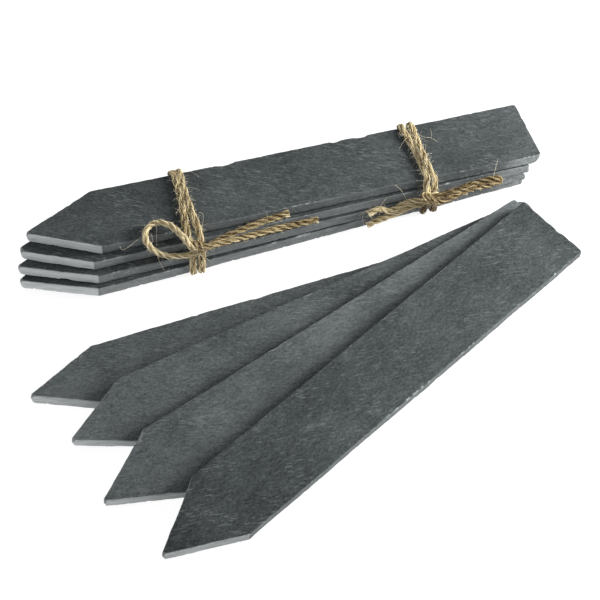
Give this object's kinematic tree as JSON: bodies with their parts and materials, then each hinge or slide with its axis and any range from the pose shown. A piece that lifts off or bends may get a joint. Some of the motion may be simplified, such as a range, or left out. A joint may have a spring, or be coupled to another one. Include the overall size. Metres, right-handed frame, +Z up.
{
  "type": "slate plant label stakes",
  "caption": "Pointed flat slate stakes for labelling plants, part of them tied in a bundle with half bows of jute twine, the rest fanned out loose beside it.",
  "frame": {"origin": "on the surface that the set lies on, under the middle of the box around the stakes and ties", "axes": "+X along the bundle's top stake, from its point to its square end, +Z up, -Y from the bundle towards the fan"},
  "size_m": [0.2154, 0.1668, 0.0232],
  "materials": {
    "slate": "riven faces, matt, with paler cut edges",
    "jute_twine": "rough laid natural jute"
  },
  "bodies": {
    "twine_ties": {"left_tie_knot": "jute_twine", "left_tie_loop": "jute_twine", "left_tie_tail_lower": "jute_twine", "left_tie_tail_upper": "jute_twine", "left_tie_winding": "jute_twine", "right_tie_knot": "jute_twine", "right_tie_loop": "jute_twine", "right_tie_tail_lower": "jute_twine", "right_tie_tail_upper": "jute_twine", "right_tie_winding": "jute_twine"},
    "tied_stake_1": {"tied_stake_1": "slate"},
    "tied_stake_2": {"tied_stake_2": "slate"},
    "tied_stake_3": {"tied_stake_3": "slate"},
    "tied_stake_4": {"tied_stake_4": "slate"},
    "loose_stake_1": {"loose_stake_1": "slate"},
    "loose_stake_2": {"loose_stake_2": "slate"},
    "loose_stake_3": {"loose_stake_3": "slate"},
    "loose_stake_4": {"loose_stake_4": "slate"}
  },
  "joints": [
    {"name": "tied_stake_1_draw_out", "type": "slide", "parent": "twine_ties", "child": "tied_stake_1", "axis": [1, 0, 0], "range_m": [0, 0.15]},
    {"name": "tied_stake_2_draw_out", "type": "slide", "parent": "twine_ties", "child": "tied_stake_2", "axis": [0.9998, 0.0175, 0], "range_m": [0, 0.15]},
    {"name": "tied_stake_3_draw_out", "type": "slide", "parent": "twine_ties", "child": "tied_stake_3", "axis": [0.9991, 0.0419, 0], "range_m": [0, 0.15]},
    {"name": "tied_stake_4_draw_out", "type": "slide", "parent": "twine_ties", "child": "tied_stake_4", "axis": [0.9978, 0.0663, 0], "range_m": [0, 0.15]},
    {"name": "loose_stake_4_lift", "type": "slide", "parent": "twine_ties", "child": "loose_stake_4", "axis": [0, 0, 1], "range_m": [0, 0.1]},
    {"name": "loose_stake_3_lift", "type": "slide", "parent": "loose_stake_4", "child": "loose_stake_3", "axis": [0, 0, 1], "range_m": [0, 0.1]},
    {"name": "loose_stake_2_lift", "type": "slide", "parent": "loose_stake_3", "child": "loose_stake_2", "axis": [0, 0, 1], "range_m": [0, 0.1]},
    {"name": "loose_stake_1_lift", "type": "slide", "parent": "loose_stake_2", "child": "loose_stake_1", "axis": [0, 0, 1], "range_m": [0, 0.1]}
  ]
}
